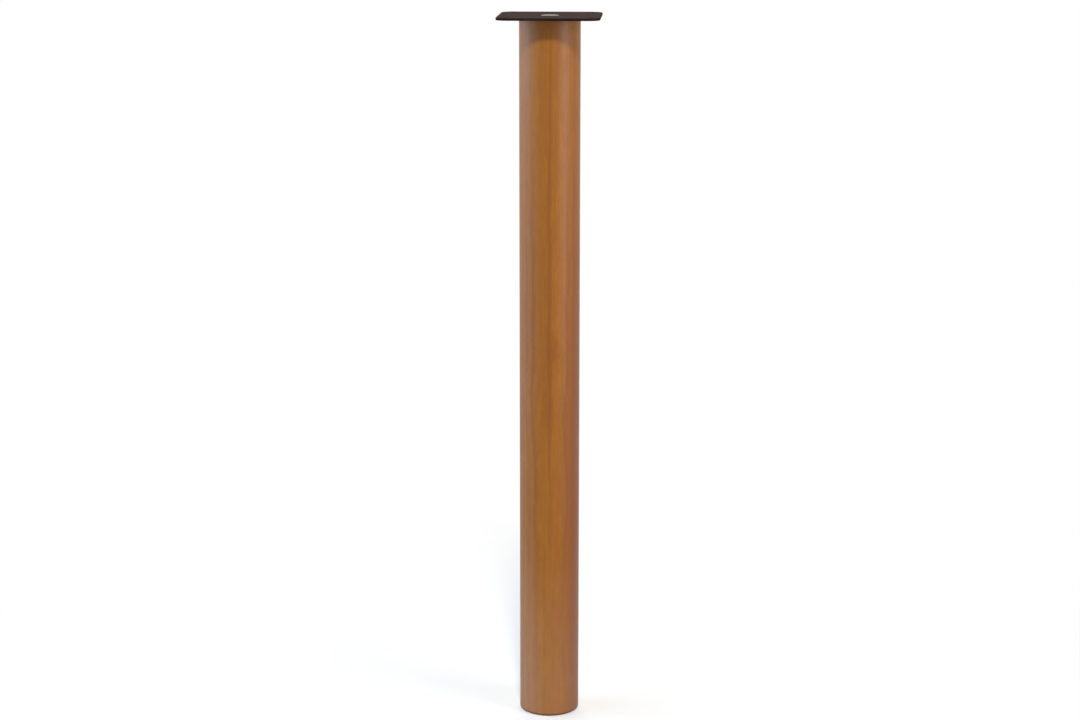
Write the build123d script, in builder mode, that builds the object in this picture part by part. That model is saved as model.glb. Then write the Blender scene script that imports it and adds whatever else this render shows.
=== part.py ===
"""Round wooden table leg with a square steel plate on top, held to the leg by one flush screw.

The leg stands upright. The origin is the middle of the foot on the floor, +Z points up to the table top,
and X and Y run along the sides of the plate. All sizes are in millimetres.
"""

import os

from build123d import *

# Wooden leg
overall_height = 710  # from the floor to the top face of the plate
leg_diameter = 60
foot_rounding = 3  # round edge of the foot
top_edge_break = 0.6  # small chamfer round the leg's top end

# Steel plate
plate_side = 100
plate_thickness = 2.5
plate_corner_radius = 12
plate_edge_rounding = 0.4  # deburred outer edges
table_hole_inset = 10  # from the middle of a table screw hole to the edges beside it
table_hole_diameter = 6

# Countersunk screw, M10
screw_length = 40  # from the top of the head to the tip
thread_diameter = 10  # over the crests
thread_pitch = 1.5
head_diameter = 18
head_rim = 0.5  # straight rim above the cone of the head
head_sink = 0.2  # depth of the head under the plate's top face
tip_chamfer = 1
cross_depth = 4.2
cross_span = 9.6  # tip to tip of the cross recess at its mouth
cross_width = 2.6  # width of one wing at the mouth
cross_floor_span = 4.6
cross_floor_width = 1.6

# Insert in the leg's end
insert_diameter = 16  # midway between the crests and roots of its wood thread
insert_length = 25
insert_lead = 1.5  # chamfer of the end that goes into the wood first
insert_slot_width = 2.5
insert_slot_depth = 3

# Fits
seat_gap = 0.1  # between the cone of the head and the seat in the plate
hole_clearance = 0.8  # plate hole over the screw's thread, across the diameter
hole_land = 1  # straight wall of the plate hole under the seat
recess_gap = 0.5  # between the pressed seat and the wood round it
insert_sink = 0.5  # depth of the insert under the floor of that recess
insert_gap = 0.1  # between the insert and its bore
thread_gap = 0.1  # between the screw and the insert, both at the middle of their threads
tip_room = 3  # depth left free under the screw and the insert

# Middle of a metric thread, which lies this share of the pitch inside the crests
thread_middle_share = 0.6495
thread_middle_radius = (thread_diameter - thread_middle_share * thread_pitch) / 2

# Table screw holes, one in each corner of the plate
table_hole_spacing = plate_side - 2 * table_hole_inset

# Heights
plate_top = overall_height
leg_top = plate_top - plate_thickness
head_top = plate_top - head_sink
rim_bottom = head_top - head_rim
cone_bottom = rim_bottom - (head_diameter / 2 - thread_middle_radius)
screw_tip = head_top - screw_length

# Pressed seat, a cone at 45 degrees that keeps the thickness of the plate
root_two = 2**0.5
seat_radius = head_diameter / 2 + seat_gap * root_two
seat_mouth_radius = seat_radius + plate_top - rim_bottom
hole_radius = (thread_diameter + hole_clearance) / 2
seat_end = rim_bottom - (seat_radius - hole_radius)
seat_bottom = seat_end - hole_land
seat_wall = plate_thickness * root_two
seat_outer_mouth = seat_mouth_radius + seat_wall - plate_thickness
seat_outer_end = seat_mouth_radius + seat_wall - (plate_top - seat_bottom)

# Stepped bore in the leg
recess_floor = seat_bottom - recess_gap
recess_mouth_radius = seat_outer_mouth + recess_gap * root_two
recess_floor_radius = recess_mouth_radius - (leg_top - recess_floor)
insert_top = recess_floor - insert_sink
insert_bottom = insert_top - insert_length
insert_bore_radius = insert_diameter / 2 + insert_gap
tip_bore_radius = hole_radius
tip_bore_end = min(screw_tip, insert_bottom) - tip_room


with BuildPart() as leg_column:
    with BuildSketch():
        Circle(leg_diameter / 2)
    extrude(amount=leg_top)
    fillet(leg_column.faces().sort_by(Axis.Z)[0].edges(), radius=foot_rounding)
    chamfer(leg_column.faces().sort_by(Axis.Z)[-1].edges(), length=top_edge_break)
    # Recess for the pressed seat, bore for the insert, then room for the screw's tip with a drill point
    with BuildSketch(Plane.XZ):
        with BuildLine():
            Polyline(
                (0, leg_top),
                (recess_mouth_radius, leg_top),
                (recess_floor_radius, recess_floor),
                (insert_bore_radius, recess_floor),
                (insert_bore_radius, insert_bottom),
                (tip_bore_radius, insert_bottom),
                (tip_bore_radius, tip_bore_end),
                (0, tip_bore_end - tip_bore_radius),
                close=True,
            )
        make_face()
    revolve(axis=Axis.Z, mode=Mode.SUBTRACT)
leg_column.part.label = "leg_column"


with BuildPart() as mounting_plate:
    with BuildSketch(Plane.XY.offset(leg_top)):
        RectangleRounded(plate_side, plate_side, plate_corner_radius)
    extrude(amount=plate_thickness)
    outer_faces = mounting_plate.faces().filter_by(Axis.Z)
    fillet(outer_faces.edges(), radius=plate_edge_rounding)
    # Outside of the pressed seat, then the seat itself and the hole under it
    with BuildSketch(Plane.XZ):
        with BuildLine():
            Polyline(
                (0, leg_top),
                (seat_outer_mouth, leg_top),
                (seat_outer_end, seat_bottom),
                (0, seat_bottom),
                close=True,
            )
        make_face()
    revolve(axis=Axis.Z)
    with BuildSketch(Plane.XZ):
        with BuildLine():
            Polyline(
                (0, plate_top),
                (seat_mouth_radius, plate_top),
                (hole_radius, seat_end),
                (hole_radius, seat_bottom),
                (0, seat_bottom),
                close=True,
            )
        make_face()
    revolve(axis=Axis.Z, mode=Mode.SUBTRACT)
    with Locations(Plane.XY.offset(plate_top)):
        with GridLocations(table_hole_spacing, table_hole_spacing, 2, 2):
            Hole(radius=table_hole_diameter / 2, depth=plate_thickness)
mounting_plate.part.label = "mounting_plate"


with BuildPart() as centre_screw:
    with BuildSketch(Plane.XZ):
        with BuildLine():
            Polyline(
                (0, head_top),
                (head_diameter / 2, head_top),
                (head_diameter / 2, rim_bottom),
                (thread_middle_radius, cone_bottom),
                (thread_middle_radius, screw_tip + tip_chamfer),
                (thread_middle_radius - tip_chamfer, screw_tip),
                (0, screw_tip),
                close=True,
            )
        make_face()
    revolve(axis=Axis.Z)
    # Cross recess, narrower at its floor
    with BuildSketch(Plane.XY.offset(head_top)):
        Rectangle(cross_span, cross_width)
        Rectangle(cross_width, cross_span)
    with BuildSketch(Plane.XY.offset(head_top - cross_depth)):
        Rectangle(cross_floor_span, cross_floor_width)
        Rectangle(cross_floor_width, cross_floor_span)
    loft(ruled=True, mode=Mode.SUBTRACT)
centre_screw.part.label = "centre_screw"


with BuildPart() as threaded_insert:
    with BuildSketch(Plane.XZ):
        with BuildLine():
            Polyline(
                (thread_middle_radius + thread_gap, insert_top),
                (insert_diameter / 2, insert_top),
                (insert_diameter / 2, insert_bottom + insert_lead),
                (insert_diameter / 2 - insert_lead, insert_bottom),
                (thread_middle_radius + thread_gap, insert_bottom),
                close=True,
            )
        make_face()
    revolve(axis=Axis.Z)
    # Slot across the top, for the driver that turns it into the wood
    with BuildSketch(Plane.XY.offset(insert_top)):
        Rectangle(insert_diameter, insert_slot_width)
    extrude(amount=-insert_slot_depth, mode=Mode.SUBTRACT)
threaded_insert.part.label = "threaded_insert"


os.makedirs("parts", exist_ok=True)
export_step(leg_column.part, "parts/leg_column.step")
export_step(mounting_plate.part, "parts/mounting_plate.step")
export_step(centre_screw.part, "parts/centre_screw.step")
export_step(threaded_insert.part, "parts/threaded_insert.step")
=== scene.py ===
"""Round wooden table leg with its steel mounting plate, finished and set in a small studio.

The file is laid out as an add-on. The settings hold the sizes and finishes, one operator makes each piece,
and the stage operator sets the floor, the light and the camera. Lengths are metres, in the part's own
frame: the leg stands on the floor at the origin and +Z points up to the table top.
"""

import math

import bmesh
import bpy
from bpy.props import FloatProperty, FloatVectorProperty, IntProperty, PointerProperty
from bpy.types import Operator, Panel, PropertyGroup
from mathutils import Euler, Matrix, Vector


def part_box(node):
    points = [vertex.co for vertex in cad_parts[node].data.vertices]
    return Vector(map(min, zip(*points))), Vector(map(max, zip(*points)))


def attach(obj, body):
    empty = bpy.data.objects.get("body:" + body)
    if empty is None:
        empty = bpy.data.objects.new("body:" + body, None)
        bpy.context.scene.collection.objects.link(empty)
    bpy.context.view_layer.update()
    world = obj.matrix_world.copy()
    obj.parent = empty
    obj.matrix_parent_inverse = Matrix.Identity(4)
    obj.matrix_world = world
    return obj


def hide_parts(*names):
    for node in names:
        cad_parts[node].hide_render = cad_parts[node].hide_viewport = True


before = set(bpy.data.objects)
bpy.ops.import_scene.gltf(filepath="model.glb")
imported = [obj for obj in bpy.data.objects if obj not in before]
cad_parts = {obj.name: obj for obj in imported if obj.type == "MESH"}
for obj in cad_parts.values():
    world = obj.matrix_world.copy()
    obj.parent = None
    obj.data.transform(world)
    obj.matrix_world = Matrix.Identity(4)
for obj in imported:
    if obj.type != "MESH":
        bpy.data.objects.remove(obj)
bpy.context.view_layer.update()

bl_info = {
    "name": "Wooden Table Leg",
    "version": (1, 0, 0),
    "blender": (4, 5, 0),
    "location": "View3D > Sidebar > Table Leg",
    "description": "Makes a turned wooden table leg with its steel plate, its screw and a small studio",
    "category": "Object",
}

BODY = "root"

# Places taken from the solids
LEG_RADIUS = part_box("leg_column")[1].x
LEG_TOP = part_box("leg_column")[1].z
PLATE_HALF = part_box("mounting_plate")[1].x
PLATE_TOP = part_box("mounting_plate")[1].z
SEAT_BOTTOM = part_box("mounting_plate")[0].z
HEAD_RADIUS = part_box("centre_screw")[1].x
HEAD_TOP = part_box("centre_screw")[1].z
SCREW_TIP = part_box("centre_screw")[0].z
INSERT_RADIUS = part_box("threaded_insert")[1].x
INSERT_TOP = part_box("threaded_insert")[1].z
INSERT_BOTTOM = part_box("threaded_insert")[0].z
SHEET = PLATE_TOP - LEG_TOP

# Metric thread: its depth and the width of its flat crest, as shares of the pitch
METRIC_DEPTH = 0.613
METRIC_CREST = 1 / 8

# Turns, directions and limits
ROOT_TWO = math.sqrt(2)
FULL_TURN = 2 * math.pi
ORIGIN = (0.0, 0.0, 0.0)
AXIS = (0.0, 0.0, 1.0)
WELD = 1e-6
SHARP_ANGLE = math.radians(40)
LEVEL_NORMAL = 0.99
STRIP_CORNERS = 4

# The colour sockets of a Mix node by number, the middle of a noise's colour, how many radians a wave texture
# turns over one unit at a scale of one, plain white, and the width of the camera's sensor in millimetres
MIX_FACTOR = 0
MIX_FIRST = 6
MIX_SECOND = 7
MIX_RESULT = 2
NOISE_MIDDLE = (0.5, 0.5, 0.5)
WAVE_TURN = 20
WHITE = (1.0, 1.0, 1.0)
SENSOR_WIDTH = 36.0


class LegSettings(PropertyGroup):
    """Sizes and finish of the turned leg."""

    facets: IntProperty(name="Facets", description="Facets round the leg", default=160, min=24)
    foot_rounding: FloatProperty(
        name="Foot rounding", description="Radius of the foot's round edge", default=0.003, unit="LENGTH"
    )
    top_edge: FloatProperty(
        name="Top edge", description="Width of the edge break at the top end", default=0.0006, unit="LENGTH"
    )
    recess_gap: FloatProperty(
        name="Recess gap", description="Room round the pressed seat of the plate", default=0.0005,
        unit="LENGTH",
    )
    bore_gap: FloatProperty(
        name="Bore gap", description="Room round the insert", default=0.0001, unit="LENGTH"
    )
    tip_room: FloatProperty(
        name="Tip room", description="Free depth under the screw's tip", default=0.003, unit="LENGTH"
    )
    early_wood: FloatVectorProperty(
        name="Early wood", description="Pale part of a growth ring", default=(0.353, 0.1305, 0.0105),
        subtype="COLOR", min=0, max=1,
    )
    late_wood: FloatVectorProperty(
        name="Late wood", description="Dark part of a growth ring", default=(0.25, 0.0766, 0.0082),
        subtype="COLOR", min=0, max=1,
    )
    fibre: FloatVectorProperty(
        name="Fibre", description="Fine dark fibres", default=(0.212, 0.063, 0.0075),
        subtype="COLOR", min=0, max=1,
    )
    # Used for random redder clouds and for painted shade: a darker patch on the right side of the leg
    blush_and_shade: FloatVectorProperty(
        name="Blush", description="Broad redder clouds in the stain", default=(0.21, 0.0585, 0.018),
        subtype="COLOR", min=0, max=1,
    )
    # Painted shade: the place and reach of the darker patch on the right side
    shade_patch_place: FloatVectorProperty(
        name="Blush place", description="Middle of the redder patch", default=(0.031, -0.009, 0.2),
        subtype="TRANSLATION", unit="LENGTH",
    )
    shade_patch_reach: FloatVectorProperty(
        name="Blush reach", description="How far the patch spreads across and along the leg",
        default=(0.03, 0.03, 0.55), subtype="TRANSLATION", unit="LENGTH",
    )
    vein_place: FloatVectorProperty(
        name="Vein place", description="Middle of the thin dark vein", default=(0.0015, -0.03, 0.45),
        subtype="TRANSLATION", unit="LENGTH",
    )
    vein_reach: FloatVectorProperty(
        name="Vein reach", description="How far the vein spreads across and along the leg",
        default=(0.0026, 0.008, 0.38), subtype="TRANSLATION", unit="LENGTH",
    )
    # Painted shade: darkens the foot's round edge and underside
    foot_shade: FloatVectorProperty(
        name="End grain", description="Darker stain at the end of the leg", default=(0.06, 0.018, 0.008),
        subtype="COLOR", min=0, max=1,
    )
    foot_shade_share: FloatProperty(
        name="End grain share", description="Strength of that darker stain", default=0.75, min=0, max=1,
        subtype="FACTOR",
    )
    # Painted reflection: a pale colour added near the floor, standing in for the floor's reflection in the
    # lacquer
    painted_floor_reflection: FloatVectorProperty(
        name="Haze", description="Dulled, dusty lacquer near the floor", default=(0.036, 0.042, 0.04),
        subtype="COLOR", min=0, max=1,
    )
    painted_floor_reflection_height: FloatProperty(
        name="Haze height", description="How far up the haze reaches", default=0.17, unit="LENGTH"
    )
    painted_floor_reflection_share: FloatProperty(
        name="Haze share", description="Strength of the haze at the foot", default=0.75, min=0, max=1,
        subtype="FACTOR",
    )
    # Painted reflection: a pale patch added on the left side of the foot, standing in for the floor's
    # reflection
    dust_and_sheen: FloatVectorProperty(
        name="Dust", description="Warm dust on one side of the foot", default=(0.054, 0.039, 0.036),
        subtype="COLOR", min=0, max=1,
    )
    sheen_patch_place: FloatVectorProperty(
        name="Dust place", description="Middle of the dustiest side of the foot",
        default=(-0.0205, -0.022, 0.035), subtype="TRANSLATION", unit="LENGTH",
    )
    sheen_patch_reach: FloatVectorProperty(
        name="Dust reach", description="How far that dust spreads across and along the leg",
        default=(0.019, 0.019, 0.2), subtype="TRANSLATION", unit="LENGTH",
    )
    fleck: FloatVectorProperty(
        name="Fleck", description="Short brown flecks of the wood's rays", default=(0.153, 0.0455, 0.0075),
        subtype="COLOR", min=0, max=1,
    )
    ring_width: FloatProperty(
        name="Ring width", description="Width of one growth ring", default=0.0042, unit="LENGTH"
    )
    ring_start: FloatProperty(
        name="Ring start", description="How far the rings are moved on, a full turn being one ring",
        default=math.radians(283), subtype="ANGLE",
    )
    ring_strength: FloatVectorProperty(
        name="Ring strength",
        description="Strength of the rings near the foot, in the middle and near the top",
        default=(0.45, 1.15, 0.3), min=0,
    )
    ring_rise: FloatVectorProperty(
        name="Ring rise", description="Heights between which the rings grow strong",
        default=(0.1, 0.38), size=2, unit="LENGTH",
    )
    ring_fade: FloatVectorProperty(
        name="Ring fade", description="Heights between which the rings grow faint",
        default=(0.46, 0.6), size=2, unit="LENGTH",
    )
    pith: FloatVectorProperty(
        name="Pith", description="Where the heart of the tree lay, seen from the leg's axis",
        default=(-0.005, 0.072, 0.0), subtype="TRANSLATION", unit="LENGTH",
    )
    grain_slope: FloatProperty(
        name="Grain slope", description="Slope of the grain along the leg", default=math.radians(0.17),
        subtype="ANGLE",
    )
    wander: FloatProperty(
        name="Wander", description="How far the grain drifts sideways", default=0.005, unit="LENGTH"
    )
    gloss: FloatProperty(
        name="Gloss", description="Roughness of the satin lacquer", default=0.45, min=0, max=1,
        subtype="FACTOR",
    )
    shine: FloatProperty(
        name="Shine", description="Specular level of the lacquer", default=0.31, min=0, max=1,
        subtype="FACTOR",
    )


class PlateSettings(PropertyGroup):
    """Sizes and finish of the steel plate."""

    corner_radius: FloatProperty(
        name="Corner radius", description="Radius of the plate's corners", default=0.012, unit="LENGTH"
    )
    edge_rounding: FloatProperty(
        name="Edge rounding", description="Radius of the deburred edges", default=0.0004, unit="LENGTH"
    )
    hole_inset: FloatProperty(
        name="Hole inset", description="From a table screw hole to the edges beside it", default=0.01,
        unit="LENGTH",
    )
    hole_diameter: FloatProperty(
        name="Hole diameter", description="Diameter of a table screw hole", default=0.006, unit="LENGTH"
    )
    seat_mouth: FloatProperty(
        name="Seat mouth", description="Radius of the screw's seat at the top face", default=0.00984142,
        unit="LENGTH", precision=5,
    )
    seat_hole: FloatProperty(
        name="Seat hole", description="Radius of the hole under the seat", default=0.0054, unit="LENGTH"
    )
    paint: FloatVectorProperty(
        name="Paint", description="Dark brown paint", default=(0.018, 0.0075, 0.0045),
        subtype="COLOR", min=0, max=1,
    )
    dust_and_sheen: FloatVectorProperty(
        name="Dust", description="Paler brown of thin, dusty paint", default=(0.028, 0.015, 0.011),
        subtype="COLOR", min=0, max=1,
    )
    gloss: FloatProperty(
        name="Gloss", description="Roughness of the paint", default=0.8, min=0, max=1, subtype="FACTOR"
    )
    shine: FloatProperty(
        name="Shine", description="Specular level of the paint", default=0.03, min=0, max=1,
        subtype="FACTOR",
    )


class ScrewSettings(PropertyGroup):
    """Sizes and finish of the screw and the insert."""

    facets: IntProperty(name="Facets", description="Facets round the screw", default=64, min=24)
    thread_diameter: FloatProperty(
        name="Thread diameter", description="Over the crests of the thread", default=0.01, unit="LENGTH"
    )
    thread_pitch: FloatProperty(
        name="Thread pitch", description="Distance from crest to crest", default=0.0015, unit="LENGTH",
        precision=4,
    )
    rim: FloatProperty(
        name="Rim", description="Height of the straight rim of the head", default=0.0005, unit="LENGTH"
    )
    cross_span: FloatProperty(
        name="Cross span", description="Tip to tip of the cross recess", default=0.0096, unit="LENGTH"
    )
    cross_width: FloatProperty(
        name="Cross width", description="Width of one wing of the recess", default=0.0026, unit="LENGTH"
    )
    cross_depth: FloatProperty(
        name="Cross depth", description="Depth of the recess", default=0.0042, unit="LENGTH"
    )
    floor_span: FloatProperty(
        name="Floor span", description="Tip to tip at the floor of the recess", default=0.0046,
        unit="LENGTH",
    )
    floor_width: FloatProperty(
        name="Floor width", description="Width of one wing at the floor", default=0.0016, unit="LENGTH"
    )
    zinc: FloatVectorProperty(
        name="Zinc", description="Dull zinc plating", default=(0.175, 0.14, 0.123),
        subtype="COLOR", min=0, max=1,
    )
    tarnish: FloatVectorProperty(
        name="Tarnish", description="Darker, browner zinc", default=(0.14, 0.11, 0.095),
        subtype="COLOR", min=0, max=1,
    )
    gloss: FloatProperty(
        name="Gloss", description="Roughness of the plating", default=0.46, min=0, max=1, subtype="FACTOR"
    )
    insert_metal: FloatVectorProperty(
        name="Insert metal", description="Plating of the insert", default=(0.55, 0.5, 0.4),
        subtype="COLOR", min=0, max=1,
    )
    wood_pitch: FloatProperty(
        name="Wood thread pitch", description="Pitch of the insert's outer thread", default=0.004,
        unit="LENGTH",
    )
    wood_crest: FloatProperty(
        name="Wood thread height", description="How far the outer thread stands out", default=0.0012,
        unit="LENGTH",
    )


class StageSettings(PropertyGroup):
    """Floor, light and camera."""

    floor_size: FloatProperty(
        name="Floor size", description="Side of the floor", default=60.0, unit="LENGTH"
    )
    floor_colour: FloatVectorProperty(
        name="Floor", description="Pale floor", default=(0.84, 0.82, 0.8), subtype="COLOR", min=0, max=1
    )
    floor_bounce: FloatVectorProperty(
        name="Floor bounce", description="How pale the floor is to the light that it throws back",
        default=(0.36, 0.36, 0.36), subtype="COLOR", min=0, max=1,
    )
    floor_white: FloatProperty(
        name="Floor white", description="How white the floor looks beside the leg", default=0.15,
        min=0, max=1, subtype="FACTOR",
    )
    fade_start: FloatProperty(
        name="Fade start", description="Where the floor starts to fade to white", default=0.12,
        unit="LENGTH",
    )
    fade_end: FloatProperty(
        name="Fade end", description="Where the floor is white", default=0.7, unit="LENGTH"
    )
    ambient: FloatProperty(
        name="Ambient", description="Strength of the light all round", default=0.12, min=0
    )
    ambient_colour: FloatVectorProperty(
        name="Ambient colour", description="Colour of the light all round", default=(1.0, 1.0, 1.0),
        subtype="COLOR", min=0, max=1,
    )
    key_strength: FloatProperty(
        name="Key", description="Strength of the light in front", default=2.34, min=0
    )
    key_colour: FloatVectorProperty(
        name="Key colour", description="Colour of the light in front", default=(1.0, 0.99, 0.87),
        subtype="COLOR", min=0, max=1,
    )
    key_distance: FloatProperty(
        name="Key distance",
        description="From the foot to the key, which shines the same from any distance",
        default=3.0, unit="LENGTH",
    )
    key_height: FloatProperty(
        name="Key height", description="Angle of the key over the floor", default=math.radians(44.5),
        subtype="ANGLE",
    )
    key_turn: FloatProperty(
        name="Key turn", description="Angle of the key round the leg", default=math.radians(5),
        subtype="ANGLE",
    )
    key_spread: FloatProperty(
        name="Key spread", description="How wide the key looks from the leg", default=math.radians(7),
        subtype="ANGLE",
    )
    left_power: FloatProperty(
        name="Left light", description="Power of the cool light at the left", default=5.1, unit="POWER"
    )
    left_colour: FloatVectorProperty(
        name="Left colour", description="Colour of the left light", default=(0.5, 0.7, 1.0),
        subtype="COLOR", min=0, max=1,
    )
    high_left_power: FloatProperty(
        name="High left light", description="Power of the cool light high at the left", default=4.1,
        unit="POWER",
    )
    high_left_colour: FloatVectorProperty(
        name="High left colour", description="Colour of the high left light", default=(0.52, 0.7, 1.0),
        subtype="COLOR", min=0, max=1,
    )
    right_power: FloatProperty(
        name="Right light", description="Power of the tall panel at the right", default=8.4, unit="POWER"
    )
    right_colour: FloatVectorProperty(
        name="Right colour", description="Colour of the right light", default=(0.77, 0.81, 1.0),
        subtype="COLOR", min=0, max=1,
    )
    back_power: FloatProperty(
        name="Back light", description="Power of the light behind the leg", default=20.0, unit="POWER"
    )
    camera_distance: FloatProperty(
        name="Camera distance", description="From the camera to the leg's axis, along the floor",
        default=2.2, unit="LENGTH",
    )
    camera_turn: FloatProperty(
        name="Camera turn", description="Angle of the camera round the leg", default=math.radians(3.0),
        subtype="ANGLE",
    )
    camera_height: FloatProperty(
        name="Camera height", description="Height of the camera over the floor", default=0.8547,
        unit="LENGTH",
    )
    camera_tilt: FloatProperty(
        name="Camera tilt", description="How far the camera looks down", default=math.radians(12.489),
        subtype="ANGLE",
    )
    camera_swing: FloatProperty(
        name="Camera swing", description="How far the camera looks past the leg",
        default=math.radians(0.25), subtype="ANGLE",
    )
    lens: FloatProperty(name="Lens", description="Focal length", default=74.95, unit="CAMERA")


# Mesh helpers


def revolve(bm, outline, steps, centre=(0.0, 0.0)):
    """Spins corners of (radius, height) round a vertical axis."""
    x, y = centre
    corners = [bm.verts.new((x + radius, y, height)) for radius, height in outline]
    edges = [bm.edges.new(pair) for pair in zip(corners, corners[1:])]
    bmesh.ops.spin(
        bm, geom=corners + edges, cent=(x, y, 0.0), axis=AXIS, angle=FULL_TURN, steps=steps, use_merge=True
    )


def sweep_thread(bm, section, pitch, turns, steps):
    """Sweeps a closed section of (radius, height) corners along a right-handed helix."""
    corners = [bm.verts.new((radius, 0.0, height)) for radius, height in section]
    face = bm.faces.new(corners)
    bmesh.ops.spin(
        bm, geom=corners + list(face.edges) + [face], cent=ORIGIN, axis=AXIS,
        dvec=(0.0, 0.0, pitch / steps), angle=FULL_TURN * turns, steps=round(steps * turns),
    )


def circle_edges(bm, radius, height):
    """The edges of the circle of this radius and height about the leg's axis."""
    near = 1e-5

    def on_circle(vert):
        return abs(math.hypot(vert.co.x, vert.co.y) - radius) < near and abs(vert.co.z - height) < near

    return [e for e in bm.edges if on_circle(e.verts[0]) and on_circle(e.verts[1])]


def round_edges(bm, edges, radius, segments):
    """Rounds edges with an arc of this radius."""
    bmesh.ops.bevel(
        bm, geom=edges, offset=radius, offset_type="OFFSET", affect="EDGES", segments=segments, profile=0.5,
        material=-1,
    )


def wide_level_faces(bm):
    """The faces that look straight up or down and have more corners than a strip of a rounding."""
    return [f for f in bm.faces if abs(f.normal.z) > LEVEL_NORMAL and len(f.edges) > STRIP_CORNERS]


def open_edges_at(bm, height):
    """The edges at this height that belong to one face only."""
    near = 1e-6
    return [e for e in bm.edges if e.is_boundary and all(abs(v.co.z - height) < near for v in e.verts)]


def finish_piece(bm, name, material, node=None):
    """Turns a bmesh into a piece of the object that rides on the leg and may stand for a node."""
    bmesh.ops.remove_doubles(bm, verts=bm.verts, dist=WELD)
    bmesh.ops.recalc_face_normals(bm, faces=bm.faces)
    mesh = bpy.data.meshes.new(name)
    bm.to_mesh(mesh)
    bm.free()
    mesh.shade_smooth()
    mesh.set_sharp_from_angle(angle=SHARP_ANGLE)
    mesh.materials.append(material)
    piece = bpy.data.objects.new(name, mesh)
    bpy.context.scene.collection.objects.link(piece)
    flat = piece.modifiers.new("flat_faces", "WEIGHTED_NORMAL")
    flat.keep_sharp = True
    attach(piece, BODY)
    if node:
        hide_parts(node)


# Material helpers


def add(tree, kind, values=None, **settings):
    """Adds a node, sets its fields and then its inputs."""
    node = tree.nodes.new(kind)
    for field, value in settings.items():
        setattr(node, field, value)
    for socket, value in (values or {}).items():
        node.inputs[socket].default_value = value
    return node


def plug(tree, source, socket):
    """Links a socket, or sets a plain value on it."""
    if isinstance(source, bpy.types.NodeSocket):
        tree.links.new(source, socket)
    elif socket.type == "RGBA":
        socket.default_value = (*source, 1.0)
    else:
        socket.default_value = source


def mix_colours(tree, factor, first, second, blend="MIX"):
    """Mixes two colours, each a socket or a value, and returns the result's socket."""
    node = add(tree, "ShaderNodeMix", data_type="RGBA", blend_type=blend, clamp_factor=True)
    plug(tree, factor, node.inputs[MIX_FACTOR])
    plug(tree, first, node.inputs[MIX_FIRST])
    plug(tree, second, node.inputs[MIX_SECOND])
    return node.outputs[MIX_RESULT]


def combine(tree, operation, first, second):
    """Joins two values by a sum, a product or the like, and returns the result's socket."""
    node = add(tree, "ShaderNodeMath", operation=operation)
    tree.links.new(first, node.inputs[0])
    tree.links.new(second, node.inputs[1])
    return node.outputs["Value"]


def remap(tree, value, low=0.0, high=1.0, to_low=0.0, to_high=1.0):
    """Stretches a range of values to another range, clamped, and returns the socket."""
    node = add(
        tree, "ShaderNodeMapRange",
        {"From Min": low, "From Max": high, "To Min": to_low, "To Max": to_high},
    )
    tree.links.new(value, node.inputs["Value"])
    return node.outputs["Result"]


def stain_where(tree, colour, stain, value, low, high, share, blend="MIX"):
    """Stains a colour where a value rises from low to high, up to a share of the stain."""
    return mix_colours(tree, remap(tree, value, low, high, to_high=share), colour, stain, blend)


def stretched(tree, coordinates, along):
    """Coordinates squeezed along the leg, so that patterns run with the grain."""
    node = add(tree, "ShaderNodeMapping", {"Scale": (1.0, 1.0, along)})
    tree.links.new(coordinates, node.inputs["Vector"])
    return node.outputs["Vector"]


def long_noise(tree, coordinates, along, scale, detail, roughness=0.5):
    """Noise that is drawn out along the leg; returns its value."""
    node = add(tree, "ShaderNodeTexNoise", {"Scale": scale, "Detail": detail, "Roughness": roughness})
    tree.links.new(stretched(tree, coordinates, along), node.inputs["Vector"])
    return node.outputs["Fac"]


def wandering(tree, coordinates, reach):
    """Coordinates that drift sideways along the leg, so that the grain doesn't run ruler-straight."""
    drift = add(tree, "ShaderNodeTexNoise", {"Scale": 25.0, "Detail": 2.0})
    tree.links.new(stretched(tree, coordinates, along=0.5), drift.inputs["Vector"])
    middle = add(tree, "ShaderNodeVectorMath", operation="SUBTRACT")
    middle.inputs[1].default_value = NOISE_MIDDLE
    tree.links.new(drift.outputs["Color"], middle.inputs[0])
    moved = add(tree, "ShaderNodeVectorMath", operation="MULTIPLY_ADD")
    moved.inputs[1].default_value = (reach, reach, 0.0)
    tree.links.new(middle.outputs["Vector"], moved.inputs[0])
    tree.links.new(coordinates, moved.inputs[2])
    return moved.outputs["Vector"]


def patch_mask(tree, coordinates, place, reach):
    """One in the middle of a patch, and zero outside its reach."""
    inverse = [1 / side for side in reach]
    node = add(
        tree, "ShaderNodeMapping",
        {"Location": [-middle * share for middle, share in zip(place, inverse)], "Scale": inverse},
    )
    tree.links.new(coordinates, node.inputs["Vector"])
    ball = add(tree, "ShaderNodeTexGradient", gradient_type="SPHERICAL")
    tree.links.new(node.outputs["Vector"], ball.inputs["Vector"])
    return ball.outputs["Fac"]


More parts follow.
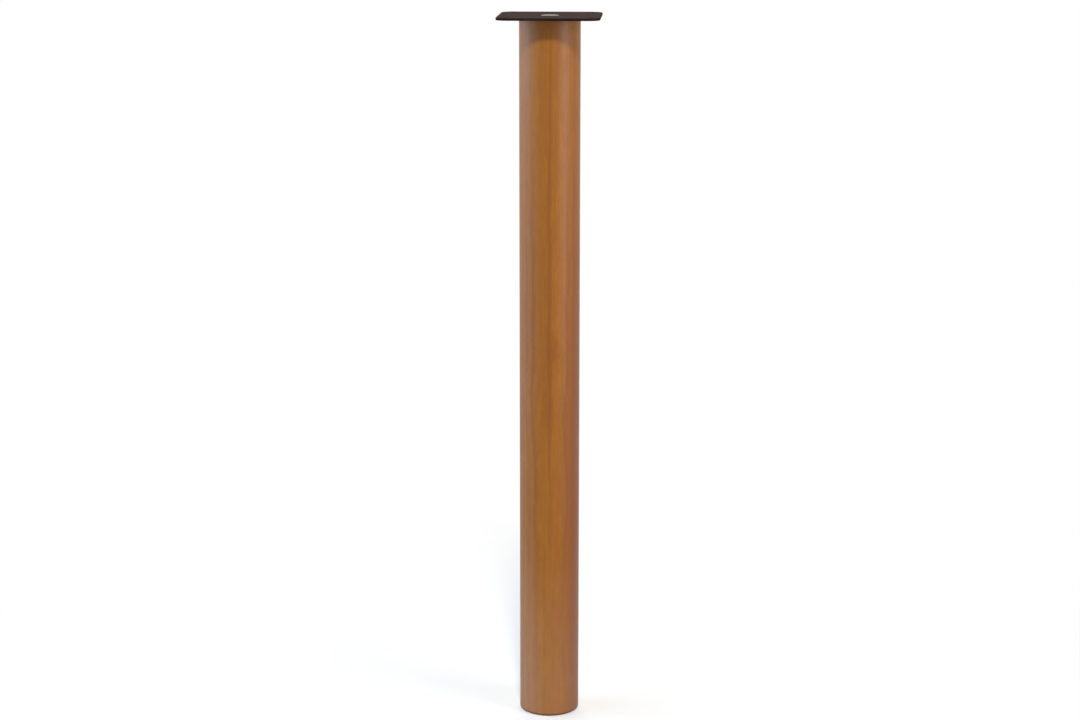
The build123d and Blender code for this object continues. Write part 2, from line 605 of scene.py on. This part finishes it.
def uneven_finish_group():
    """A node group for hand marks and thin spots in a finish: a mask and a fine height."""
    name = "uneven_finish"
    if name in bpy.data.node_groups:
        return bpy.data.node_groups[name]
    group = bpy.data.node_groups.new(name, "ShaderNodeTree")
    face = group.interface
    face.new_socket("Vector", in_out="INPUT", socket_type="NodeSocketVector")
    face.new_socket("Cloud scale", in_out="INPUT", socket_type="NodeSocketFloat")
    face.new_socket("Speck scale", in_out="INPUT", socket_type="NodeSocketFloat")
    face.new_socket("Cloud", in_out="OUTPUT", socket_type="NodeSocketFloat")
    face.new_socket("Height", in_out="OUTPUT", socket_type="NodeSocketFloat")
    inside = add(group, "NodeGroupInput")
    outside = add(group, "NodeGroupOutput")
    clouds = add(group, "ShaderNodeTexNoise", {"Detail": 4.0, "Roughness": 0.6})
    specks = add(group, "ShaderNodeTexNoise", {"Detail": 2.0, "Roughness": 0.5})
    for texture, scale in ((clouds, "Cloud scale"), (specks, "Speck scale")):
        group.links.new(inside.outputs["Vector"], texture.inputs["Vector"])
        group.links.new(inside.outputs[scale], texture.inputs["Scale"])
    group.links.new(remap(group, clouds.outputs["Fac"], low=0.3, high=0.7), outside.inputs["Cloud"])
    group.links.new(specks.outputs["Fac"], outside.inputs["Height"])
    return group


def finish_unevenness(tree, coordinates, cloud_scale, speck_scale):
    """Places the shared group in a material; returns its mask and its height."""
    node = add(tree, "ShaderNodeGroup", node_tree=uneven_finish_group())
    node.inputs["Cloud scale"].default_value = cloud_scale
    node.inputs["Speck scale"].default_value = speck_scale
    tree.links.new(coordinates, node.inputs["Vector"])
    return node.outputs["Cloud"], node.outputs["Height"]


def start_material(name):
    """A material with its surface shader and object coordinates."""
    material = bpy.data.materials.new(name)
    material.use_nodes = True
    tree = material.node_tree
    shader = tree.nodes["Principled BSDF"]
    coordinates = add(tree, "ShaderNodeTexCoord").outputs["Object"]
    return material, tree, shader, coordinates


def uneven_roughness(tree, shader, mask, gloss, smoother, duller):
    """Drives the shader's roughness from a mask, a little to both sides of the plain gloss."""
    rough = remap(tree, mask, to_low=gloss - smoother, to_high=gloss + duller)
    tree.links.new(rough, shader.inputs["Roughness"])


def bump(tree, shader, height, strength, distance):
    """Drives the shader's normal from a height."""
    node = add(tree, "ShaderNodeBump", {"Strength": strength, "Distance": distance})
    tree.links.new(height, node.inputs["Height"])
    tree.links.new(node.outputs["Normal"], shader.inputs["Normal"])


# Materials


def growth_rings(tree, grain, rise, leg):
    """Mask of the growth rings round the tree's heart, which fade from early to late wood and back."""
    heart = [-place for place in leg.pith]
    trunk = add(tree, "ShaderNodeMapping", {"Location": heart, "Rotation": (leg.grain_slope, 0.0, 0.0)})
    tree.links.new(grain, trunk.inputs["Vector"])
    rings = add(
        tree, "ShaderNodeTexWave",
        {"Distortion": 2.0, "Detail": 3.0, "Detail Scale": 22.0, "Detail Roughness": 0.5},
        wave_type="RINGS", rings_direction="Z", wave_profile="SIN",
    )
    rings.inputs["Scale"].default_value = FULL_TURN / WAVE_TURN / leg.ring_width
    rings.inputs["Phase Offset"].default_value = leg.ring_start
    tree.links.new(stretched(tree, trunk.outputs["Vector"], along=0.1), rings.inputs["Vector"])
    late = remap(tree, rings.outputs["Fac"], low=0.45, to_high=0.8)
    # The rings are strongest in the middle of the leg
    near_foot, in_middle, near_top = leg.ring_strength
    rising = remap(tree, rise, *leg.ring_rise, near_foot, in_middle)
    fading = remap(tree, rise, *leg.ring_fade, in_middle, near_top)
    return combine(tree, "MULTIPLY", late, combine(tree, "MINIMUM", rising, fading))


def grain_marks(tree, coordinates, grain, fibres, colour, leg):
    """Adds redder clouds, a darker patch of painted shade on the right side, a thin vein, long streaks,
    mottle, fine fibres and short flecks to the wood.
    """
    clouds = long_noise(tree, coordinates, along=0.12, scale=38.0, detail=3.0)
    streaks = long_noise(tree, grain, along=0.012, scale=300.0, detail=3.0)
    mottle = long_noise(tree, grain, along=0.35, scale=150.0, detail=3.0)
    flecks = long_noise(tree, coordinates, along=0.16, scale=2000.0, detail=1.0)
    cloudy = remap(tree, clouds, low=0.4, high=0.7, to_high=0.3)
    # Painted shade: a darker, redder patch on the right side of the leg, over redder clouds in the stain
    patch = patch_mask(tree, coordinates, leg.shade_patch_place, leg.shade_patch_reach)
    redder_and_shaded = combine(tree, "MAXIMUM", cloudy, remap(tree, patch, high=0.7, to_high=0.95))
    colour = mix_colours(tree, redder_and_shaded, colour, leg.blush_and_shade)
    vein = patch_mask(tree, grain, leg.vein_place, leg.vein_reach)
    colour = stain_where(tree, colour, leg.fibre, vein, low=0.0, high=0.7, share=0.7)
    colour = stain_where(tree, colour, leg.late_wood, streaks, low=0.4, high=0.8, share=0.4)
    colour = stain_where(tree, colour, leg.late_wood, mottle, low=0.35, high=0.7, share=0.42)
    colour = stain_where(tree, colour, leg.fibre, fibres, low=0.4, high=0.8, share=0.6)
    return stain_where(tree, colour, leg.fleck, flecks, low=0.63, high=0.74, share=0.45)


def foot_reflection_and_shade(tree, coordinates, rise, colour, leg):
    """Paints the floor's reflection near the floor and on the left of the foot, and shade on the foot's
    round edge.
    """
    # Painted reflection of the floor, added as a pale colour: full over the lowest fifth of its height
    painted_floor_reflection = remap(tree, rise, leg.painted_floor_reflection_height / 5, leg.painted_floor_reflection_height, leg.painted_floor_reflection_share, 0.0)
    colour = mix_colours(tree, painted_floor_reflection, colour, leg.painted_floor_reflection, blend="ADD")
    # Painted reflection of the floor, as a pale patch on the left side of the foot
    painted_sheen_patch = patch_mask(tree, coordinates, leg.sheen_patch_place, leg.sheen_patch_reach)
    colour = stain_where(tree, colour, leg.dust_and_sheen, painted_sheen_patch, low=0.0, high=0.75, share=1.0, blend="ADD")
    # Painted shade: the round edge and the underside of the foot are darkened
    full_shade = leg.foot_rounding * 0.3
    no_shade = leg.foot_rounding * 1.2
    foot_shade = remap(tree, rise, full_shade, no_shade, leg.foot_shade_share, 0.0)
    return mix_colours(tree, foot_shade, colour, leg.foot_shade)


def lacquered_wood(leg):
    """Stained hardwood under a satin lacquer."""
    material, tree, shader, coordinates = start_material("lacquered_wood_finish")
    grain = wandering(tree, coordinates, leg.wander)
    axes = add(tree, "ShaderNodeSeparateXYZ")
    tree.links.new(coordinates, axes.inputs["Vector"])
    rise = axes.outputs["Z"]
    fibres = long_noise(tree, grain, along=0.012, scale=1500.0, detail=4.0, roughness=0.6)
    colour = mix_colours(tree, growth_rings(tree, grain, rise, leg), leg.early_wood, leg.late_wood)
    colour = grain_marks(tree, coordinates, grain, fibres, colour, leg)
    colour = foot_reflection_and_shade(tree, coordinates, rise, colour, leg)
    tree.links.new(colour, shader.inputs["Base Color"])
    hand_marks, _ = finish_unevenness(tree, coordinates, cloud_scale=26.0, speck_scale=900.0)
    uneven_roughness(tree, shader, hand_marks, leg.gloss, smoother=0.03, duller=0.04)
    shader.inputs["Specular IOR Level"].default_value = leg.shine
    bump(tree, shader, fibres, strength=0.12, distance=0.0002)
    return material


def plate_paint(plate):
    """Dark brown paint on sheet steel, with a fine texture and dusty clouds."""
    material, tree, shader, coordinates = start_material("plate_paint_finish")
    clouds, grit = finish_unevenness(tree, coordinates, cloud_scale=60.0, speck_scale=1800.0)
    tree.links.new(mix_colours(tree, clouds, plate.paint, plate.dust_and_sheen), shader.inputs["Base Color"])
    uneven_roughness(tree, shader, clouds, plate.gloss, smoother=0.05, duller=0.07)
    shader.inputs["Specular IOR Level"].default_value = plate.shine
    bump(tree, shader, grit, strength=0.2, distance=0.0002)
    return material


def dull_zinc(name, screw, fresh):
    """Zinc-plated steel with turning marks and a slightly tarnished skin."""
    material, tree, shader, coordinates = start_material(name)
    clouds, grit = finish_unevenness(tree, coordinates, cloud_scale=260.0, speck_scale=5000.0)
    turning = add(
        tree, "ShaderNodeTexWave", {"Scale": 900.0, "Distortion": 1.5, "Detail": 2.0},
        wave_type="RINGS", rings_direction="Z",
    )
    tree.links.new(coordinates, turning.inputs["Vector"])
    tree.links.new(mix_colours(tree, clouds, fresh, screw.tarnish), shader.inputs["Base Color"])
    uneven_roughness(tree, shader, clouds, screw.gloss, smoother=0.06, duller=0.1)
    shader.inputs["Metallic"].default_value = 1.0
    marks = combine(tree, "ADD", grit, turning.outputs["Fac"])
    bump(tree, shader, marks, strength=0.15, distance=0.00005)
    return material


# Pieces


class TABLELEG_OT_turned_leg(Operator):
    """Make the turned wooden leg with its round foot edge and the stepped bore in its top"""

    bl_idname = "tableleg.turned_leg"
    bl_label = "Turned Leg"

    def execute(self, context):
        leg = context.scene.tableleg_leg
        plate = context.scene.tableleg_plate
        recess_floor = SEAT_BOTTOM - leg.recess_gap
        recess_mouth = plate.seat_mouth + SHEET * (ROOT_TWO - 1) + leg.recess_gap * ROOT_TWO
        bore = INSERT_RADIUS + leg.bore_gap
        bore_end = min(SCREW_TIP, INSERT_BOTTOM) - leg.tip_room
        outline = [
            (0.0, 0.0),
            (LEG_RADIUS, 0.0),
            (LEG_RADIUS, LEG_TOP),
            (recess_mouth, LEG_TOP),
            (recess_mouth - (LEG_TOP - recess_floor), recess_floor),
            (bore, recess_floor),
            (bore, INSERT_BOTTOM),
            (plate.seat_hole, INSERT_BOTTOM),
            (plate.seat_hole, bore_end),
            (0.0, bore_end - plate.seat_hole),
        ]
        bm = bmesh.new()
        revolve(bm, outline, leg.facets)
        bmesh.ops.remove_doubles(bm, verts=bm.verts, dist=WELD)
        round_edges(bm, circle_edges(bm, LEG_RADIUS, 0.0), leg.foot_rounding, segments=8)
        round_edges(bm, circle_edges(bm, LEG_RADIUS, LEG_TOP), leg.top_edge, segments=2)
        finish_piece(bm, "turned_leg", lacquered_wood(leg), "leg_column")
        return {"FINISHED"}


class TABLELEG_OT_painted_plate(Operator):
    """Make the square steel plate with its table screw holes and the pressed seat for the screw"""

    bl_idname = "tableleg.painted_plate"
    bl_label = "Painted Plate"

    def execute(self, context):
        plate = context.scene.tableleg_plate
        bm = bmesh.new()
        bmesh.ops.create_cube(bm, size=1.0)
        bmesh.ops.scale(bm, vec=(2 * PLATE_HALF, 2 * PLATE_HALF, SHEET), verts=bm.verts)
        bmesh.ops.translate(bm, vec=(0.0, 0.0, LEG_TOP + SHEET / 2), verts=bm.verts)
        upright = [e for e in bm.edges if abs(e.verts[0].co.z - e.verts[1].co.z) > SHEET / 2]
        round_edges(bm, upright, plate.corner_radius, segments=14)
        rims = [e for f in wide_level_faces(bm) for e in f.edges]
        round_edges(bm, rims, plate.edge_rounding, segments=4)
        # The top and bottom faces are filled again round the holes and the seat
        bmesh.ops.delete(bm, geom=wide_level_faces(bm), context="FACES_ONLY")
        self.wall_table_holes(bm, plate)
        self.press_seat(bm, plate)
        bmesh.ops.remove_doubles(bm, verts=bm.verts, dist=WELD)
        for height in (PLATE_TOP, LEG_TOP):
            bmesh.ops.triangle_fill(bm, use_beauty=True, edges=open_edges_at(bm, height))
        finish_piece(bm, "painted_plate", plate_paint(plate), "mounting_plate")
        return {"FINISHED"}

    @staticmethod
    def wall_table_holes(bm, plate):
        """The walls of the table screw holes, with a hair of an edge break at both rims."""
        radius = plate.hole_diameter / 2
        rim = plate.edge_rounding / 2
        place = PLATE_HALF - plate.hole_inset
        wall = [
            (radius + rim, PLATE_TOP),
            (radius, PLATE_TOP - rim),
            (radius, LEG_TOP + rim),
            (radius + rim, LEG_TOP),
        ]
        for x in (-place, place):
            for y in (-place, place):
                revolve(bm, wall, steps=32, centre=(x, y))

    @staticmethod
    def press_seat(bm, plate):
        """The pressed seat, which slopes at 45 degrees and keeps the thickness of the sheet."""
        sloped = SHEET * ROOT_TWO
        seat_end = PLATE_TOP - (plate.seat_mouth - plate.seat_hole)
        outer_mouth = plate.seat_mouth + sloped - SHEET
        outer_end = plate.seat_mouth + sloped - (PLATE_TOP - SEAT_BOTTOM)
        soft = plate.edge_rounding
        seat = [
            (plate.seat_mouth + soft, PLATE_TOP),
            (plate.seat_mouth, PLATE_TOP - soft / 3),
            (plate.seat_mouth - soft, PLATE_TOP - soft),
            (plate.seat_hole, seat_end),
            (plate.seat_hole, SEAT_BOTTOM),
            (outer_end, SEAT_BOTTOM),
            (outer_mouth, LEG_TOP),
        ]
        revolve(bm, seat, steps=64)


class TABLELEG_OT_zinc_screw(Operator):
    """Make the countersunk screw with its cross recess and its thread"""

    bl_idname = "tableleg.zinc_screw"
    bl_label = "Zinc Screw"

    def execute(self, context):
        screw = context.scene.tableleg_screw
        crest = screw.thread_diameter / 2
        depth = METRIC_DEPTH * screw.thread_pitch
        root = crest - depth
        soft = screw.rim / 4
        cone_top = HEAD_TOP - screw.rim
        cone_bottom = cone_top - (HEAD_RADIUS - root)
        outline = [
            (HEAD_RADIUS - soft, HEAD_TOP),
            (HEAD_RADIUS, HEAD_TOP - soft),
            (HEAD_RADIUS, cone_top),
            (root, cone_bottom),
            (root, SCREW_TIP + depth),
            (root - depth, SCREW_TIP),
            (0.0, SCREW_TIP),
        ]
        bm = bmesh.new()
        revolve(bm, outline, screw.facets)
        self.cut_cross(bm, screw)
        bmesh.ops.remove_doubles(bm, verts=bm.verts, dist=WELD)
        bmesh.ops.triangle_fill(bm, use_beauty=True, edges=open_edges_at(bm, HEAD_TOP))
        # Thread, from above the tip up to the cone of the head
        sunk = depth / 8
        low = SCREW_TIP + depth
        half_crest = screw.thread_pitch * METRIC_CREST / 2
        half_base = screw.thread_pitch * (1 - METRIC_CREST) / 2
        section = [
            (root - sunk, low - half_base),
            (crest, low - half_crest),
            (crest, low + half_crest),
            (root - sunk, low + half_base),
        ]
        turns = (cone_bottom - low) / screw.thread_pitch
        sweep_thread(bm, section, screw.thread_pitch, turns, steps=40)
        zinc = dull_zinc("screw_zinc_finish", screw, screw.zinc)
        finish_piece(bm, "zinc_screw", zinc, "centre_screw")
        return {"FINISHED"}

    @staticmethod
    def cut_cross(bm, screw):
        """Sinks a cross with sloping walls into the head."""
        half = 0.5
        made = bmesh.ops.create_grid(bm, x_segments=3, y_segments=3, size=half)
        verts = made["verts"]
        faces = list({f for v in verts for f in v.link_faces})
        corners = [f for f in faces if min(abs(c) for c in f.calc_center_median().xy) > half / 2]
        bmesh.ops.delete(bm, geom=corners, context="FACES")
        verts = [v for v in verts if v.is_valid]
        faces = [f for f in faces if f.is_valid]

        def size_cross(points, span, width, height):
            for vert in points:
                for side in (0, 1):
                    reach = span if abs(vert.co[side]) > half / 2 else width
                    vert.co[side] = math.copysign(reach / 2, vert.co[side])
                vert.co.z = height

        deeper = bmesh.ops.extrude_face_region(bm, geom=faces)["geom"]
        floor = [v for v in deeper if isinstance(v, bmesh.types.BMVert)]
        mouth = [v for v in verts if v.is_valid and v not in floor]
        size_cross(floor, screw.floor_span, screw.floor_width, HEAD_TOP - screw.cross_depth)
        size_cross(mouth, screw.cross_span, screw.cross_width, HEAD_TOP)
        left_over = [f for f in bm.faces if all(v in mouth for v in f.verts)]
        bmesh.ops.delete(bm, geom=left_over, context="FACES")


class TABLELEG_OT_wood_insert(Operator):
    """Finish the insert and give it the outer thread that bites into the wood"""

    bl_idname = "tableleg.wood_insert"
    bl_label = "Wood Insert"

    def execute(self, context):
        screw = context.scene.tableleg_screw
        metal = dull_zinc("insert_zinc_finish", screw, screw.insert_metal)
        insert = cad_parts["threaded_insert"]
        insert.data.materials.clear()
        insert.data.materials.append(metal)
        # The thread starts half a pitch above the insert's end and stops a turn below its top
        sunk = screw.wood_crest / 6
        base = screw.wood_pitch / 5
        low = INSERT_BOTTOM + screw.wood_pitch / 2
        section = [
            (INSERT_RADIUS - sunk, low - base),
            (INSERT_RADIUS + screw.wood_crest, low),
            (INSERT_RADIUS - sunk, low + base),
        ]
        turns = (INSERT_TOP - low) / screw.wood_pitch - 1.0
        bm = bmesh.new()
        sweep_thread(bm, section, screw.wood_pitch, turns, steps=48)
        finish_piece(bm, "insert_thread", metal)
        return {"FINISHED"}


# Stage


def shown_rays(tree):
    """One where a ray comes from the camera, a reflection or a clear surface."""
    rays = add(tree, "ShaderNodeLightPath").outputs
    seen = combine(tree, "MAXIMUM", rays["Is Camera Ray"], rays["Is Glossy Ray"])
    return combine(tree, "MAXIMUM", seen, rays["Is Transmission Ray"])


def mix_surfaces(tree, factor, first, second, output):
    """Mixes two shaders into the output node of this name."""
    mixer = add(tree, "ShaderNodeMixShader")
    tree.links.new(factor, mixer.inputs["Fac"])
    tree.links.new(first, mixer.inputs[1])
    tree.links.new(second, mixer.inputs[2])
    tree.links.new(mixer.outputs["Shader"], tree.nodes[output].inputs["Surface"])


def floor_material(stage):
    """Pale matt floor that takes the leg's shadow and fades to white farther out."""
    material, tree, shader, coordinates = start_material("studio_floor")
    matt = 0.9
    shader.inputs["Roughness"].default_value = matt
    shader.inputs["Specular IOR Level"].default_value = 0.0
    seen = shown_rays(tree)
    colour = mix_colours(tree, seen, stage.floor_bounce, stage.floor_colour)
    tree.links.new(colour, shader.inputs["Base Color"])
    reach = add(tree, "ShaderNodeVectorMath", operation="LENGTH")
    tree.links.new(coordinates, reach.inputs[0])
    fade = remap(tree, reach.outputs["Value"], stage.fade_start, stage.fade_end, to_low=stage.floor_white)
    white = add(tree, "ShaderNodeEmission", {"Color": (*WHITE, 1.0), "Strength": 1.0})
    faded = combine(tree, "MULTIPLY", fade, seen)
    mix_surfaces(tree, faded, shader.outputs["BSDF"], white.outputs["Emission"], "Material Output")
    return material


def white_world(stage):
    """A world that looks white and lights softly from all round."""
    world = bpy.data.worlds.new("studio_world")
    world.use_nodes = True
    tree = world.node_tree
    soft = tree.nodes["Background"]
    soft.inputs["Color"].default_value = (*stage.ambient_colour, 1.0)
    soft.inputs["Strength"].default_value = stage.ambient
    white = add(tree, "ShaderNodeBackground", {"Color": (*WHITE, 1.0), "Strength": 1.0})
    seen = shown_rays(tree)
    mix_surfaces(tree, seen, soft.outputs["Background"], white.outputs["Background"], "World Output")
    return world


def round_the_leg(turn, distance, height):
    """A place at an angle round the leg: zero is in front, and the angle grows to the right."""
    return Vector((distance * math.sin(turn), -distance * math.cos(turn), height))


def lamp(name, kind, place, target, **settings):
    """A lamp that looks at a point."""
    light = bpy.data.lights.new(name, kind)
    for field, value in settings.items():
        setattr(light, field, value)
    holder = bpy.data.objects.new(name, light)
    holder.location = place
    holder.rotation_euler = (Vector(target) - Vector(place)).to_track_quat("-Z", "Y").to_euler()
    bpy.context.scene.collection.objects.link(holder)


def panel_lamp(name, power, colour, degrees, distance, height, aim, width, tall):
    """A soft rectangular lamp round the leg, turned to a height on the leg's axis."""
    lamp(
        name, "AREA", round_the_leg(math.radians(degrees), distance, height), (0.0, 0.0, aim),
        energy=power, color=colour, shape="RECTANGLE", size=width, size_y=tall,
    )


class TABLELEG_OT_studio(Operator):
    """Make the floor, the light and the camera"""

    bl_idname = "tableleg.studio"
    bl_label = "Studio"

    def execute(self, context):
        scene = context.scene
        stage = scene.tableleg_stage
        scene.view_settings.view_transform = "Standard"
        scene.world = white_world(stage)
        self.lay_floor(stage)
        self.hang_lamps(stage)
        self.set_camera(scene, stage)
        return {"FINISHED"}

    @staticmethod
    def lay_floor(stage):
        """A wide floor under the leg."""
        bm = bmesh.new()
        bmesh.ops.create_grid(bm, x_segments=2, y_segments=2, size=stage.floor_size / 2)
        mesh = bpy.data.meshes.new("studio_floor")
        bm.to_mesh(mesh)
        bm.free()
        mesh.materials.append(floor_material(stage))
        floor = bpy.data.objects.new("studio_floor", mesh)
        bpy.context.scene.collection.objects.link(floor)

    @staticmethod
    def hang_lamps(stage):
        """A key in front, two panels at the left, one at the right and one high behind the leg."""
        key_flat = stage.key_distance * math.cos(stage.key_height)
        key_rise = stage.key_distance * math.sin(stage.key_height)
        lamp(
            "key_light", "SUN", round_the_leg(stage.key_turn, key_flat, key_rise), ORIGIN,
            energy=stage.key_strength, color=stage.key_colour, angle=stage.key_spread,
        )
        panel_lamp(
            "left_light", stage.left_power, stage.left_colour,
            degrees=-84, distance=0.75, height=0.56, aim=0.56, width=0.95, tall=1.1,
        )
        panel_lamp(
            "high_left_light", stage.high_left_power, stage.high_left_colour,
            degrees=-93, distance=0.75, height=0.87, aim=0.87, width=0.95, tall=0.7,
        )
        panel_lamp(
            "right_light", stage.right_power, stage.right_colour,
            degrees=60, distance=1.0, height=0.74, aim=0.74, width=0.44, tall=0.93,
        )
        panel_lamp(
            "back_light", stage.back_power, WHITE,
            degrees=180, distance=1.3, height=2.1, aim=0.4, width=1.4, tall=1.2,
        )

    @staticmethod
    def set_camera(scene, stage):
        """The camera, a little above the plate and looking down the leg."""
        view = bpy.data.cameras.new("camera")
        view.lens = stage.lens
        view.sensor_width = SENSOR_WIDTH
        camera = bpy.data.objects.new("camera", view)
        camera.location = round_the_leg(stage.camera_turn, stage.camera_distance, stage.camera_height)
        level = math.radians(90)
        swung = stage.camera_turn + stage.camera_swing
        camera.rotation_euler = Euler((level - stage.camera_tilt, 0.0, swung))
        scene.collection.objects.link(camera)
        scene.camera = camera


class TABLELEG_PT_panel(Panel):
    """The leg's pieces and its studio"""

    bl_label = "Table Leg"
    bl_idname = "TABLELEG_PT_panel"
    bl_space_type = "VIEW_3D"
    bl_region_type = "UI"
    bl_category = "Table Leg"

    def draw(self, context):
        for operator in OPERATORS:
            self.layout.operator(operator.bl_idname)


OPERATORS = (
    TABLELEG_OT_turned_leg,
    TABLELEG_OT_painted_plate,
    TABLELEG_OT_zinc_screw,
    TABLELEG_OT_wood_insert,
    TABLELEG_OT_studio,
)
SETTINGS = {
    "tableleg_leg": LegSettings,
    "tableleg_plate": PlateSettings,
    "tableleg_screw": ScrewSettings,
    "tableleg_stage": StageSettings,
}


def register():
    for group in SETTINGS.values():
        bpy.utils.register_class(group)
    for operator in OPERATORS:
        bpy.utils.register_class(operator)
    bpy.utils.register_class(TABLELEG_PT_panel)
    for name, group in SETTINGS.items():
        setattr(bpy.types.Scene, name, PointerProperty(type=group))


def unregister():
    for name in SETTINGS:
        delattr(bpy.types.Scene, name)
    bpy.utils.unregister_class(TABLELEG_PT_panel)
    for operator in reversed(OPERATORS):
        bpy.utils.unregister_class(operator)
    for group in reversed(list(SETTINGS.values())):
        bpy.utils.unregister_class(group)


def main():
    register()
    bpy.ops.tableleg.turned_leg()
    bpy.ops.tableleg.painted_plate()
    bpy.ops.tableleg.zinc_screw()
    bpy.ops.tableleg.wood_insert()
    bpy.ops.tableleg.studio()


if __name__ == "__main__":
    main()
